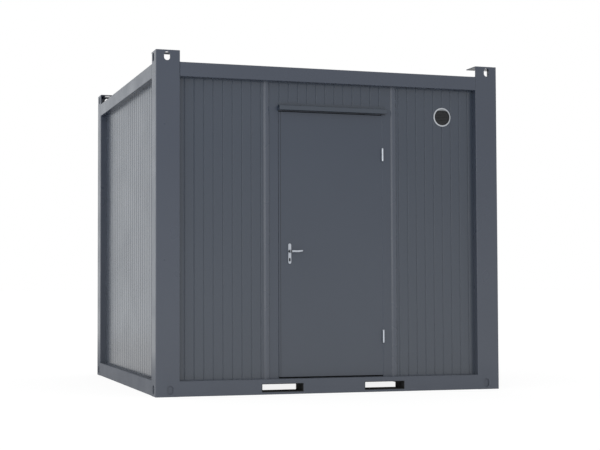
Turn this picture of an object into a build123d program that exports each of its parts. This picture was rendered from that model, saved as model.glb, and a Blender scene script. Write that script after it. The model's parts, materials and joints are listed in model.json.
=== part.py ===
from build123d import *
import os

# Portable site cabin: a ten-foot steel frame with sandwich walls, one outward-opening door,
# fork pockets underneath and lifting corners on top. Millimetres; the origin is the centre of
# the footprint at ground level, +X to the right of someone facing the door, +Y to the back.

# --- overall -------------------------------------------------------------------------------
WIDTH = 2989.0          # left to right over the corner posts
DEPTH = 2435.0          # front to back over the corner posts
HEIGHT = 2735.0         # ground to the top of the lifting plates

# --- corner posts --------------------------------------------------------------------------
POST_FACE = 197.0       # post width seen from the front and back
POST_SIDE = 145.0       # post width seen from the sides
POST_WALL = 4.0
POST_BEND = 7.0         # outside radius of the cold-formed edges
POST_RISE = 90.0        # the lifting plates stand this far above the top rails

# --- rails ---------------------------------------------------------------------------------
TOP_RAIL = 115.0        # height of the roof frame's face
BOTTOM_RAIL = 122.0     # height of the floor frame's face
RAIL_WALL = 4.0
RAIL_BEND = 4.0         # on the middle line of the sheet
RAIL_LIP = 60.0         # depth of the flanges that carry no wall

# --- walls ---------------------------------------------------------------------------------
RECESS = 55.0           # wall skin behind the face of the posts and rails
PANEL = 60.0            # sandwich panel thickness
GROOVE_PITCH = 80.0
GROOVE_WIDTH = 10.0
GROOVE_DEPTH = 2.5
CEILING = 90.0          # insulated ceiling, hung level with the underside of the top rails

# --- lifting corners and feet --------------------------------------------------------------
CORNER_WALL = 6.0
CORNER_PLATE_DEPTH = 160.0      # the top plate reaches further back than the post
EYE_WIDTH, EYE_HEIGHT = 50.0, 70.0
EYE_FROM_EDGE = 91.0            # centre of the lifting eye from the post's outer edge
SLING_LENGTH, SLING_WIDTH = 90.0, 60.0
FOOT_WALL = 8.0
FOOT_FACE = 16.0
FOOT_RECESS_DEPTH = 9.0
FOOT_RECESS_WIDTH, FOOT_RECESS_HEIGHT = 50.0, 72.0
FOOT_RECESS_X, FOOT_RECESS_Y = 118.0, 76.0
FOOT_RECESS_Z = 53.0

# --- floor ---------------------------------------------------------------------------------
POCKET_WIDTH, POCKET_HEIGHT = 346.0, 60.0
POCKET_WALL = 4.0
POCKET_DEPTH = 165.0            # front face of the rail to the inner end of the sleeve
POCKET_CENTRE = 444.0           # from the middle of the cabin
POCKET_FLOOR = 23.0             # height of the pocket's floor above the ground
DECK = 22.0
JOIST_HEIGHT, JOIST_WIDTH, JOIST_WALL = 76.0, 40.0, 3.0
JOIST_FROM_POCKET = 130.0       # clear of the pocket's outer wall
JOIST_FROM_END = 345.0

# --- roof ----------------------------------------------------------------------------------
ROOF_SHEET = 3.0
ROOF_FALL = 18.0                # rise from the eaves to the middle
ROOF_EDGE = 30.0                # sheet edge inside the outer face of the top rails
SEAM_PITCH = 540.0
SEAM_HEIGHT, SEAM_BASE, SEAM_TOP = 28.0, 34.0, 18.0
SEAM_END = 140.0                # seams stop short of the eaves

# --- door element --------------------------------------------------------------------------
JAMB = 99.0                     # face of the frame, from the opening to the strip's centre line
STRIP_WIDTH, STRIP_RISE = 50.0, 12.0
LEAF_WIDTH = 911.0
LEAF_THICKNESS = 40.0
LEAF_LIFT = 12.0                # leaf above the bottom rail
LEAF_BEVEL = 2.0                # lets the closing edge swing past the jamb
LEAF_HEM = 15.0                 # folded seam of the skin, from the closing edge
DOOR_GAP = 5.5
STOP = 20.0                     # how far the rebate reaches over the leaf
STOP_GAP = 5.0
HEADER = 195.0                  # panel over the door
HEAD = 41.5                     # face of the frame's head
SILL = 3.0

# --- hinges --------------------------------------------------------------------------------
HINGE_LENGTH, HINGE_RADIUS = 108.0, 9.0
HINGE_FROM_FOOT, HINGE_FROM_HEAD = 319.5, 327.5     # hinge middles from the leaf's ends
PIN_RADIUS, PIN_CLEARANCE = 5.0, 0.1
KNUCKLE_GAP = 0.3
LUG_WIDTH, LUG_THICKNESS = 3.25, 6.0     # hidden behind the barrel

# --- lever set -----------------------------------------------------------------------------
BACKSET = 91.5                  # closing edge to the spindle
SPINDLE_HEIGHT = 1017.0         # above the foot of the leaf
PLATE_HEIGHT, PLATE_WIDTH, PLATE_THICKNESS = 165.0, 25.0, 8.0
PLATE_DROP = 19.5               # plate's middle below the spindle
LEVER_LENGTH, LEVER_RADIUS = 100.0, 8.0
LEVER_REACH = 44.0              # leaf face to the middle of the grip
LEVER_UPTURN = 2.5
LEVER_THICKNESS = 12.0
LEVER_EDGE = 2.0                # chamfer round the outside of the grip
SPINDLE_RADIUS, SPINDLE_CLEARANCE = 8.5, 0.5        # bearing hole, and the gap in it
CYLINDER_DROP = 62.0            # lock cylinder below the spindle
CYLINDER_RADIUS, CYLINDER_TAIL, CYLINDER_HEIGHT = 6.5, 4.0, 27.0
CYLINDER_PROUD = 2.0
CYLINDER_CLEARANCE = 0.3

# --- drip canopy ---------------------------------------------------------------------------
CANOPY_PAST_LATCH, CANOPY_PAST_HINGE = 5.0, 30.0       # past the leaf at its two ends
CANOPY_LIFT = 12.0              # above the leaf
CANOPY_FACE, CANOPY_REACH, CANOPY_FLANGE = 36.0, 42.0, 20.0
CANOPY_FALL = 8.0
CANOPY_SHEET = 2.0

# --- vent ----------------------------------------------------------------------------------
VENT_FROM_SIDE, VENT_FROM_TOP = 485.0, 234.0        # from the cabin's side and the wall's top
VENT_RADIUS, VENT_BORE, VENT_RISE = 79.0, 69.0, 5.0
VENT_SLEEVE = 2.0
VENT_FLANGE = 3.0
VENT_CLEARANCE = 0.3
MESH_THICKNESS = 2.0

# --- planes that several pieces share ------------------------------------------------------
LEFT, RIGHT = -WIDTH / 2, WIDTH / 2
FRONT, BACK = -DEPTH / 2, DEPTH / 2
FACE = FRONT + RECESS                   # outer skin of the front wall
LINING = RECESS + PANEL                 # inner skin, from the outer face of the frame
RAIL_TOP = HEIGHT - POST_RISE
WALL_TOP = RAIL_TOP - TOP_RAIL
WALL_BOTTOM = BOTTOM_RAIL
DECK_BOTTOM = BOTTOM_RAIL - RAIL_WALL
DECK_TOP = DECK_BOTTOM + DECK
HEAD_TOP = WALL_TOP - HEADER
LEAF_TOP = HEAD_TOP - HEAD - DOOR_GAP
LEAF_BOTTOM = WALL_BOTTOM + LEAF_LIFT
LEAF_BACK = FACE + LEAF_THICKNESS
STOP_FACE = LEAF_BACK + STOP_GAP
OPENING = LEAF_WIDTH / 2 + DOOR_GAP     # half the frame's clear width
ELEMENT = 2 * (OPENING + JAMB)          # between the centre lines of the two cover strips
HINGE_X = LEAF_WIDTH / 2 + DOOR_GAP / 2
HINGE_Y = FACE - HINGE_RADIUS
HINGE_HEIGHTS = (LEAF_BOTTOM + HINGE_FROM_FOOT, LEAF_TOP - HINGE_FROM_HEAD)
HANDLE_X = -LEAF_WIDTH / 2 + BACKSET
SPINDLE_Z = LEAF_BOTTOM + SPINDLE_HEIGHT
PLATE_CENTRE_Z = SPINDLE_Z - PLATE_DROP
CYLINDER_Z = SPINDLE_Z - CYLINDER_DROP
CANOPY_BOTTOM = LEAF_TOP + CANOPY_LIFT
VENT_X, VENT_Z = RIGHT - VENT_FROM_SIDE, WALL_TOP - VENT_FROM_TOP


def upright(face, low, high):
    """A vertical member: a section in plan, raised from one height to another."""
    return extrude(Plane.XY.offset(low) * face, high - low)


def along_x(face, start, end):
    """A member that runs left to right; its section is drawn in (y, z)."""
    plane = Plane(origin=(start, 0, 0), x_dir=(0, 1, 0), z_dir=(1, 0, 0))
    return extrude(plane * face, end - start)


def along_y(face, start, end):
    """A member that runs front to back; its section is drawn in (x, z)."""
    plane = Plane(origin=(0, end, 0), x_dir=(1, 0, 0), z_dir=(0, -1, 0))
    return extrude(plane * face, end - start)


def outline(*points):
    return make_face(Polyline(*points, close=True))


def box_section(low_u, high_u, low_v, high_v):
    return outline((low_u, low_v), (high_u, low_v), (high_u, high_v), (low_u, high_v))


def folded(points, thickness, bend):
    """Section of a folded sheet, from its middle line and the bend radius on that line."""
    return trace(FilletPolyline(*points, radius=bend), line_width=thickness)


def save(name, shape):
    export_step(shape, f"parts/{name}.step")


def four_corners(name, front_left):
    """The same piece, handed, at all four corners."""
    front_right = mirror(front_left, about=Plane.YZ)
    save(f"{name}_front_left", front_left)
    save(f"{name}_front_right", front_right)
    save(f"{name}_back_left", mirror(front_left, about=Plane.XZ))
    save(f"{name}_back_right", mirror(front_right, about=Plane.XZ))


# --- corner posts, lifting corners and feet ------------------------------------------------
def post_face():
    """Plan of a post: two outer faces, two returns to the wall linings, a splay inside."""
    face = outline(
        (LEFT, FRONT),
        (LEFT + POST_FACE, FRONT),
        (LEFT + POST_FACE, FRONT + LINING),
        (LEFT + LINING, FRONT + POST_SIDE),
        (LEFT, FRONT + POST_SIDE),
    )
    outer = face.vertices().filter_by_position(Axis.Y, FRONT - 1, FRONT + 1)
    outer += face.vertices().filter_by_position(Axis.X, LEFT - 1, LEFT + 1).sort_by(Axis.Y)[-1:]
    return fillet(outer, radius=POST_BEND)


def corner_post():
    """A closed cold-formed section from the foot to the level of the rail tops, capped there."""
    face = post_face()
    hollow = offset(face, amount=-POST_WALL, kind=Kind.INTERSECTION)
    return upright(face, BOTTOM_RAIL, RAIL_TOP) - upright(hollow, BOTTOM_RAIL, RAIL_TOP - POST_WALL)


def oval_along_x(width, height, y, z, start, end):
    """A round-ended hole or recess cut from the side."""
    slot = SlotOverall(max(width, height) + 0.01, min(width, height))
    turn = 90 if height > width else 0
    return along_x(Pos(y, z) * Rot(0, 0, turn) * slot, start, end)


def oval_along_y(width, height, x, z, start, end):
    """A round-ended hole or recess cut from the front."""
    slot = SlotOverall(max(width, height) + 0.01, min(width, height))
    turn = 90 if height > width else 0
    return along_y(Pos(x, z) * Rot(0, 0, turn) * slot, start, end)


def lifting_corner():
    """Two eye plates in line with the post's outer faces, and a top plate over them."""
    plates = upright(post_face(), RAIL_TOP, HEIGHT - CORNER_WALL)
    inside = box_section(LEFT + CORNER_WALL, 0, FRONT + CORNER_WALL, 0)
    plates -= upright(inside, RAIL_TOP, HEIGHT - CORNER_WALL)
    top = box_section(LEFT, LEFT + POST_FACE, FRONT, FRONT + CORNER_PLATE_DEPTH)
    top = fillet(top.vertices(), radius=POST_BEND)
    sling = Pos(LEFT + EYE_FROM_EDGE, FRONT + POST_SIDE / 2)
    top -= sling * SlotOverall(SLING_LENGTH, SLING_WIDTH)
    eye_z = (RAIL_TOP + HEIGHT - CORNER_WALL) / 2
    front_eye = oval_along_y(
        EYE_WIDTH, EYE_HEIGHT, LEFT + EYE_FROM_EDGE, eye_z, FRONT - 1, FRONT + CORNER_WALL + 1
    )
    side_eye = oval_along_x(
        EYE_WIDTH, EYE_HEIGHT, FRONT + EYE_FROM_EDGE, eye_z, LEFT - 1, LEFT + CORNER_WALL + 1
    )
    return plates + upright(top, HEIGHT - CORNER_WALL, HEIGHT) - front_eye - side_eye


def foot():
    """A bottom corner: a thick-faced box with a shallow lashing recess in each outer face."""
    section = box_section(LEFT, LEFT + POST_FACE, FRONT, FRONT + POST_SIDE)
    section = fillet(section.vertices().sort_by(Axis.X).sort_by(Axis.Y)[0], radius=POST_BEND)
    hollow = box_section(
        LEFT + FOOT_FACE,
        LEFT + POST_FACE - FOOT_WALL,
        FRONT + FOOT_FACE,
        FRONT + POST_SIDE - FOOT_WALL,
    )
    body = upright(section, 0, BOTTOM_RAIL) - upright(hollow, FOOT_WALL, BOTTOM_RAIL)
    body -= oval_along_y(
        FOOT_RECESS_WIDTH,
        FOOT_RECESS_HEIGHT,
        LEFT + FOOT_RECESS_X,
        FOOT_RECESS_Z,
        FRONT - 1,
        FRONT + FOOT_RECESS_DEPTH,
    )
    body -= oval_along_x(
        FOOT_RECESS_WIDTH,
        FOOT_RECESS_HEIGHT,
        FRONT + FOOT_RECESS_Y,
        FOOT_RECESS_Z,
        LEFT - 1,
        LEFT + FOOT_RECESS_DEPTH,
    )
    return body


# --- rails ---------------------------------------------------------------------------------
def bottom_rail_section(outer, inward):
    """C section, open to the inside; the upper flange is deep enough to carry the wall."""
    half = RAIL_WALL / 2
    points = [
        (outer + inward * RAIL_LIP, half),
        (outer + inward * half, half),
        (outer + inward * half, BOTTOM_RAIL - half),
        (outer + inward * LINING, BOTTOM_RAIL - half),
    ]
    return folded(points, RAIL_WALL, RAIL_BEND)


def top_rail_section(outer, inward):
    """C section with a gutter lip; the lower flange closes the head of the wall."""
    half = RAIL_WALL / 2
    lip = outer + inward * (RAIL_LIP - half)
    points = [
        (outer + inward * LINING, WALL_TOP + half),
        (outer + inward * half, WALL_TOP + half),
        (outer + inward * half, RAIL_TOP - half),
        (lip, RAIL_TOP - half),
        (lip, RAIL_TOP - RAIL_LIP / 2),
    ]
    return folded(points, RAIL_WALL, RAIL_BEND)


def fork_sleeve(centre):
    """Outer section of one fork pocket's sleeve."""
    half = POCKET_WIDTH / 2 + POCKET_WALL
    low = POCKET_FLOOR - POCKET_WALL
    return box_section(centre - half, centre + half, low, low + POCKET_HEIGHT + 2 * POCKET_WALL)


def fork_pocket(centre):
    """One fork's pair of sleeves: short rectangular boxes welded through the two long rails."""
    half = POCKET_WIDTH / 2
    mouth = box_section(centre - half, centre + half, POCKET_FLOOR, POCKET_FLOOR + POCKET_HEIGHT)
    front_sleeve = along_y(fork_sleeve(centre) - mouth, FRONT, FRONT + POCKET_DEPTH)
    return Compound(children=[front_sleeve, mirror(front_sleeve, about=Plane.XZ)])


def rails():
    half_long = WIDTH / 2 - POST_FACE
    half_short = DEPTH / 2 - POST_SIDE
    front_bottom = along_x(bottom_rail_section(FRONT, 1), -half_long, half_long)
    for centre in (-POCKET_CENTRE, POCKET_CENTRE):
        front_bottom -= along_y(fork_sleeve(centre), FRONT - 1, FRONT + LINING)
    side_bottom = along_y(bottom_rail_section(LEFT, 1), -half_short, half_short)
    front_top = along_x(top_rail_section(FRONT, 1), -half_long, half_long)
    side_top = along_y(top_rail_section(LEFT, 1), -half_short, half_short)
    save("bottom_rail_front", front_bottom)
    save("bottom_rail_back", mirror(front_bottom, about=Plane.XZ))
    save("bottom_rail_left", side_bottom)
    save("bottom_rail_right", mirror(side_bottom, about=Plane.YZ))
    save("top_rail_front", front_top)
    save("top_rail_back", mirror(front_top, about=Plane.XZ))
    save("top_rail_left", side_top)
    save("top_rail_right", mirror(side_top, about=Plane.YZ))


# --- floor, ceiling and roof ---------------------------------------------------------------
def room_plan():
    """The inside of the walls, less the four post splays."""
    plan = box_section(LEFT + LINING, RIGHT - LINING, FRONT + LINING, BACK - LINING)
    post = post_face()
    for corner in (post, mirror(post, about=Plane.YZ)):
        plan -= corner
        plan -= mirror(corner, about=Plane.XZ)
    return plan


def floor_joists():
    """Channels from rail to rail, under the deck."""
    low = DECK_BOTTOM - JOIST_HEIGHT
    end = BACK - RAIL_WALL - RAIL_BEND
    beside_pocket = POCKET_CENTRE + POCKET_WIDTH / 2 + JOIST_FROM_POCKET
    near_end = WIDTH / 2 - JOIST_FROM_END
    joists = []
    for place in (-near_end, -beside_pocket, 0, beside_pocket, near_end):
        web, toe = place - JOIST_WIDTH / 2, place + JOIST_WIDTH / 2
        section = box_section(web, toe, low, DECK_BOTTOM)
        section -= box_section(web + JOIST_WALL, toe, low + JOIST_WALL, DECK_BOTTOM - JOIST_WALL)
        joists.append(along_y(section, -end, end))
    return Compound(children=joists)


def floor_deck():
    plan = box_section(LEFT + LINING, RIGHT - LINING, FRONT + LINING, BACK - LINING)
    for x in (LEFT, RIGHT):
        for y in (FRONT, BACK):
            plan -= Pos(x, y) * Rectangle(2 * POST_FACE, 2 * POST_SIDE)
    return upright(plan, DECK_BOTTOM, DECK_TOP)


def roof_slope(low, high, edge):
    """Section of a layer of the roof between two heights above the sheet's underside."""
    return outline(
        (-edge, RAIL_TOP + low),
        (0, RAIL_TOP + ROOF_FALL + low),
        (edge, RAIL_TOP + low),
        (edge, RAIL_TOP + high),
        (0, RAIL_TOP + ROOF_FALL + high),
        (-edge, RAIL_TOP + high),
    )


def roof_sheet():
    """A shallow ridged sheet with standing seams, closed down to the rails at both ends."""
    half = WIDTH / 2 - ROOF_EDGE
    edge = BACK - ROOF_EDGE
    sheet = along_x(roof_slope(0, ROOF_SHEET, edge), -half, half)
    gable = outline((-edge, RAIL_TOP), (edge, RAIL_TOP), (0, RAIL_TOP + ROOF_FALL))
    sheet += along_x(gable, -half, -half + ROOF_SHEET)
    sheet += along_x(gable, half - ROOF_SHEET, half)
    count = int((half - POST_FACE) // SEAM_PITCH)
    for n in range(-count, count + 1):
        middle = n * SEAM_PITCH
        foot_of_seam = along_x(
            roof_slope(ROOF_SHEET / 2, SEAM_HEIGHT / 2, edge - SEAM_END),
            middle - SEAM_BASE / 2,
            middle + SEAM_BASE / 2,
        )
        cap_of_seam = along_x(
            roof_slope(ROOF_SHEET / 2, SEAM_HEIGHT, edge - SEAM_END),
            middle - SEAM_TOP / 2,
            middle + SEAM_TOP / 2,
        )
        sheet += foot_of_seam + cap_of_seam
    for x in (LEFT, RIGHT):
        for y in (FRONT, BACK):
            clear_x, clear_y = POST_FACE + POST_WALL, CORNER_PLATE_DEPTH + POST_WALL
            notch = Pos(x, y) * Rectangle(2 * clear_x, 2 * clear_y)
            sheet -= upright(notch, RAIL_TOP - 1, HEIGHT)
    return sheet


# --- walls ---------------------------------------------------------------------------------
def groove_places(first, last):
    return [first + n * GROOVE_PITCH for n in range(int((last - first) // GROOVE_PITCH) + 1)]


def grooved_panel(start, end, grooves, place):
    """Plan of a sandwich panel: flat inside, with narrow grooves rolled into its outer skin."""
    points = [(start, PANEL), (start, 0)]
    for groove in grooves:
        points += [
            (groove - GROOVE_WIDTH / 2, 0),
            (groove - GROOVE_WIDTH / 4, GROOVE_DEPTH),
            (groove + GROOVE_WIDTH / 4, GROOVE_DEPTH),
            (groove + GROOVE_WIDTH / 2, 0),
        ]
    points += [(end, 0), (end, PANEL)]
    return outline(*[place(along, depth) for along, depth in points])


def on_front(along, depth):
    return along, FACE + depth


def on_left(along, depth):
    return LEFT + RECESS + depth, along


def walls():
    post_edge = WIDTH / 2 - POST_FACE
    first = ELEMENT / 2 + GROOVE_PITCH * 0.6
    right_grooves = groove_places(first, post_edge - GROOVE_WIDTH)
    right_plan = grooved_panel(ELEMENT / 2, post_edge, right_grooves, on_front)
    right_panel = upright(right_plan, WALL_BOTTOM, WALL_TOP)
    save("front_wall_left", mirror(right_panel, about=Plane.YZ))
    vent_hole = Pos(VENT_X, VENT_Z) * Circle(VENT_BORE + VENT_SLEEVE + VENT_CLEARANCE)
    save("front_wall_right", right_panel - along_y(vent_hole, FACE - 1, FACE + PANEL + 1))

    over_grooves = groove_places(
        -ELEMENT / 2 + GROOVE_PITCH * 1.4, ELEMENT / 2 - GROOVE_PITCH
    )
    over_plan = grooved_panel(-ELEMENT / 2, ELEMENT / 2, over_grooves, on_front)
    save("front_wall_over_door", upright(over_plan, HEAD_TOP, WALL_TOP))

    half = GROOVE_PITCH / 2
    count = int((post_edge - half - GROOVE_WIDTH) // GROOVE_PITCH)
    long_grooves = groove_places(-half - count * GROOVE_PITCH, half + count * GROOVE_PITCH)
    back_plan = grooved_panel(-post_edge, post_edge, long_grooves, on_front)
    save("back_wall", mirror(upright(back_plan, WALL_BOTTOM, WALL_TOP), about=Plane.XZ))

    side_edge = DEPTH / 2 - POST_SIDE
    count = int((side_edge - half - GROOVE_WIDTH) // GROOVE_PITCH)
    short_grooves = groove_places(-half - count * GROOVE_PITCH, half + count * GROOVE_PITCH)
    side_plan = grooved_panel(-side_edge, side_edge, short_grooves, on_left)
    side_panel = upright(side_plan, WALL_BOTTOM, WALL_TOP)
    save("left_wall", side_panel)
    save("right_wall", mirror(side_panel, about=Plane.YZ))


def cover_strip(centre):
    """A shallow rounded strip over the joint between the door element and a wall panel."""
    half = STRIP_WIDTH / 2
    crown = ThreePointArc((centre - half, FACE), (centre, FACE - STRIP_RISE), (centre + half, FACE))
    base = Line((centre + half, FACE), (centre - half, FACE))
    return upright(make_face(crown + base), WALL_BOTTOM, WALL_TOP)


# --- door ----------------------------------------------------------------------------------
def door_frame():
    """Two rebated jambs and a rebated head, welded into one frame."""
    inner = FACE + PANEL
    jamb = upright(
        outline(
            (OPENING, FACE),
            (ELEMENT / 2, FACE),
            (ELEMENT / 2, inner),
            (OPENING - STOP, inner),
            (OPENING - STOP, STOP_FACE),
            (OPENING, STOP_FACE),
        ),
        WALL_BOTTOM,
        HEAD_TOP,
    )
    head_low = LEAF_TOP + DOOR_GAP
    head = along_x(
        outline(
            (FACE, head_low),
            (STOP_FACE, head_low),
            (STOP_FACE, head_low - STOP),
            (inner, head_low - STOP),
            (inner, HEAD_TOP),
            (FACE, HEAD_TOP),
        ),
        -OPENING,
        OPENING,
    )
    return jamb + mirror(jamb, about=Plane.YZ) + head


def door_sill():
    """A threshold plate on the bottom rail, with an upstand that the leaf closes against."""
    inner = FACE + PANEL
    plate = along_x(
        box_section(FACE, STOP_FACE, WALL_BOTTOM, WALL_BOTTOM + SILL), -OPENING, OPENING
    )
    upstand = along_x(
        box_section(STOP_FACE, inner, WALL_BOTTOM, DECK_TOP), -OPENING + STOP, OPENING - STOP
    )
    return plate + upstand


def lock_profile(clearance):
    """The keyhole-shaped section of a profile cylinder, in (x, z)."""
    tail_drop = CYLINDER_HEIGHT - CYLINDER_RADIUS - CYLINDER_TAIL
    barrel = Circle(CYLINDER_RADIUS + clearance)
    neck = Pos(0, -tail_drop / 2) * Rectangle(2 * (CYLINDER_TAIL + clearance), tail_drop)
    tail = Pos(0, -tail_drop) * Circle(CYLINDER_TAIL + clearance)
    return Pos(HANDLE_X, CYLINDER_Z) * (barrel + neck + tail)


def door_leaf():
    """A flat sheet-steel leaf with a bevelled closing edge and a hem line beside it."""
    half = LEAF_WIDTH / 2
    hem = -half + LEAF_HEM
    notch = GROOVE_WIDTH / 4
    plan = outline(
        (-half, FACE),
        (hem - notch, FACE),
        (hem, FACE + notch),
        (hem + notch, FACE),
        (half, FACE),
        (half, LEAF_BACK),
        (-half + LEAF_BEVEL, LEAF_BACK),
    )
    leaf = upright(plan, LEAF_BOTTOM, LEAF_TOP)
    spindle_hole = Pos(HANDLE_X, SPINDLE_Z) * Circle(SPINDLE_RADIUS)
    leaf -= along_y(spindle_hole, FACE - 1, LEAF_BACK + 1)
    return leaf - along_y(lock_profile(CYLINDER_CLEARANCE), FACE - 1, LEAF_BACK + 1)


def lug(side, low, high):
    """The small pad that a hinge knuckle is welded to, on the frame (+1) or the leaf (-1)."""
    edge = HINGE_X + side * DOOR_GAP / 2
    reach = edge + side * LUG_WIDTH
    pad = box_section(min(HINGE_X, reach), max(HINGE_X, reach), FACE - LUG_THICKNESS, FACE)
    return upright(pad, low, high)


def knuckle(low, high):
    barrel = Pos(HINGE_X, HINGE_Y, (low + high) / 2) * Cylinder(HINGE_RADIUS, high - low)
    return barrel


def hinges():
    """Lift-off hinges: the frame's half carries the pin, and the leaf's half turns on it."""
    frame_halves, leaf_halves = [], []
    inset = LUG_THICKNESS
    for middle in HINGE_HEIGHTS:
        low, high = middle - HINGE_LENGTH / 2, middle + HINGE_LENGTH / 2
        split = middle
        frame_half = knuckle(low, split) + lug(1, low + inset, split - inset)
        frame_half = chamfer(frame_half.edges().filter_by(GeomType.CIRCLE).sort_by(Axis.Z)[0], 2)
        pin_top = high - inset
        frame_half += Pos(HINGE_X, HINGE_Y, (split + pin_top) / 2) * Cylinder(
            PIN_RADIUS, pin_top - split
        )
        frame_halves.append(frame_half)
        leaf_low = split + KNUCKLE_GAP
        leaf_half = knuckle(leaf_low, high) + lug(-1, leaf_low + inset, high - inset)
        leaf_half = chamfer(leaf_half.edges().filter_by(GeomType.CIRCLE).sort_by(Axis.Z)[-1], 2)
        bore_top = pin_top + KNUCKLE_GAP
        leaf_half -= Pos(HINGE_X, HINGE_Y, (leaf_low + bore_top) / 2) * Cylinder(
            PIN_RADIUS + PIN_CLEARANCE, bore_top - leaf_low
        )
        leaf_halves.append(leaf_half)
    save("hinge_pins", Compound(children=frame_halves))
    save("hinge_knuckles", Compound(children=leaf_halves))


def handle_plate(start, end):
    """A round-ended back plate, pierced for the lever's neck and the lock cylinder."""
    slot = Pos(HANDLE_X, PLATE_CENTRE_Z) * Rot(0, 0, 90) * SlotOverall(PLATE_HEIGHT, PLATE_WIDTH)
    slot -= Pos(HANDLE_X, SPINDLE_Z) * Circle(SPINDLE_RADIUS)
    slot -= lock_profile(CYLINDER_CLEARANCE)
    return along_y(slot, start, end)


def handle_plates():
    outside = handle_plate(FACE - PLATE_THICKNESS, FACE)
    inside = handle_plate(LEAF_BACK, LEAF_BACK + PLATE_THICKNESS)
    return Compound(children=[outside, inside])


def lever():
    """One lever: a neck from the spindle and a flat grip that turns up towards its tip."""
    root, bend, tip = LEVER_RADIUS, LEVER_LENGTH * 0.6, LEVER_LENGTH
    side = FilletPolyline(
        (-root, root),
        (bend, root),
        (tip, root + LEVER_UPTURN),
        (tip, LEVER_UPTURN - root / 2),
        (bend + root, -root),
        (-root, -root),
        radius=[root * 0.9, root * 3, root / 2, root / 2, root * 3, root * 0.9],
        close=True,
    )
    plane_y = FACE - LEVER_REACH
    face = Pos(HANDLE_X, SPINDLE_Z) * make_face(side)
    grip = along_y(face, plane_y - LEVER_THICKNESS / 2, plane_y + LEVER_THICKNESS / 2)
    grip = chamfer(grip.edges().group_by(Axis.Y)[0], LEVER_EDGE)
    neck_face = Pos(HANDLE_X, SPINDLE_Z) * Circle(SPINDLE_RADIUS - SPINDLE_CLEARANCE)
    return grip + along_y(neck_face, plane_y, FACE + LEAF_THICKNESS / 2)


def lever_handles():
    """Both levers on one spindle; the inner one mirrors the outer across the leaf."""
    outside = lever()
    middle = Plane.XZ.offset(-(FACE + LEAF_THICKNESS / 2))
    return outside + mirror(outside, about=middle)


def lock_cylinder():
    """Profile cylinder through the leaf and both plates, with a key slot at each end."""
    start = FACE - PLATE_THICKNESS - CYLINDER_PROUD
    end = LEAF_BACK + PLATE_THICKNESS + CYLINDER_PROUD
    body = along_y(lock_profile(0), start, end)
    key = Pos(HANDLE_X, CYLINDER_Z) * Rectangle(CYLINDER_PROUD, CYLINDER_RADIUS)
    body -= along_y(key, start - 1, start + CYLINDER_PROUD * 2)
    return body - along_y(key, end - CYLINDER_PROUD * 2, end + 1)


def rain_canopy():
    """A folded drip canopy: a flange on the wall, a sloping top, a face and a small hem."""
    half = CANOPY_SHEET / 2
    low, high = CANOPY_BOTTOM + half, CANOPY_BOTTOM + CANOPY_FACE - half
    out, wall = FACE - CANOPY_REACH + half, FACE - half
    section = folded(
        [
            (out + CANOPY_FALL, low),
            (out, low),
            (out, high),
            (wall, high + CANOPY_FALL),
            (wall, high + CANOPY_FALL + CANOPY_FLANGE),
        ],
        CANOPY_SHEET,
        CANOPY_SHEET,
    )
    half_leaf = LEAF_WIDTH / 2
    return along_x(section, -half_leaf - CANOPY_PAST_LATCH, half_leaf + CANOPY_PAST_HINGE)


# --- vent ----------------------------------------------------------------------------------
def vent_ring():
    """A turned ring: a domed flange outside, a sleeve through the wall, a thin flange inside."""
    inner = PANEL + VENT_FLANGE
    slope = (VENT_RADIUS - VENT_BORE) / 2
    section = outline(
        (VENT_BORE, inner),
        (VENT_RADIUS, inner),
        (VENT_RADIUS, PANEL),
        (VENT_BORE + VENT_SLEEVE, PANEL),
        (VENT_BORE + VENT_SLEEVE, 0),
        (VENT_RADIUS, 0),
        (VENT_RADIUS, -VENT_FLANGE),
        (VENT_RADIUS - slope, -VENT_RISE),
        (VENT_BORE, -VENT_RISE),
    )
    return Pos(VENT_X, FACE, VENT_Z) * revolve(section, Axis.Y)


def vent_mesh():
    """The insect screen across the sleeve."""
    disc = Pos(VENT_X, VENT_Z) * Circle(VENT_BORE)
    return along_y(disc, FACE + VENT_FLANGE, FACE + VENT_FLANGE + MESH_THICKNESS)


os.makedirs("parts", exist_ok=True)
four_corners("corner_post", corner_post())
four_corners("lifting_corner", lifting_corner())
four_corners("foot", foot())
rails()
save("fork_pocket_left", fork_pocket(-POCKET_CENTRE))
save("fork_pocket_right", fork_pocket(POCKET_CENTRE))
save("floor_joists", floor_joists())
save("floor_deck", floor_deck())
save("ceiling_panel", upright(room_plan(), WALL_TOP - CEILING, WALL_TOP))
save("roof_sheet", roof_sheet())
walls()
save("cover_strip_left", cover_strip(-ELEMENT / 2))
save("cover_strip_right", cover_strip(ELEMENT / 2))
save("door_frame", door_frame())
save("door_sill", door_sill())
save("door_leaf", door_leaf())
hinges()
save("handle_plates", handle_plates())
save("lever_handles", lever_handles())
save("lock_cylinder", lock_cylinder())
save("rain_canopy", rain_canopy())
save("vent_ring", vent_ring())
save("vent_mesh", vent_mesh())
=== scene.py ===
import json
import math

import bmesh
import bpy
from mathutils import Matrix, Vector


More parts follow.
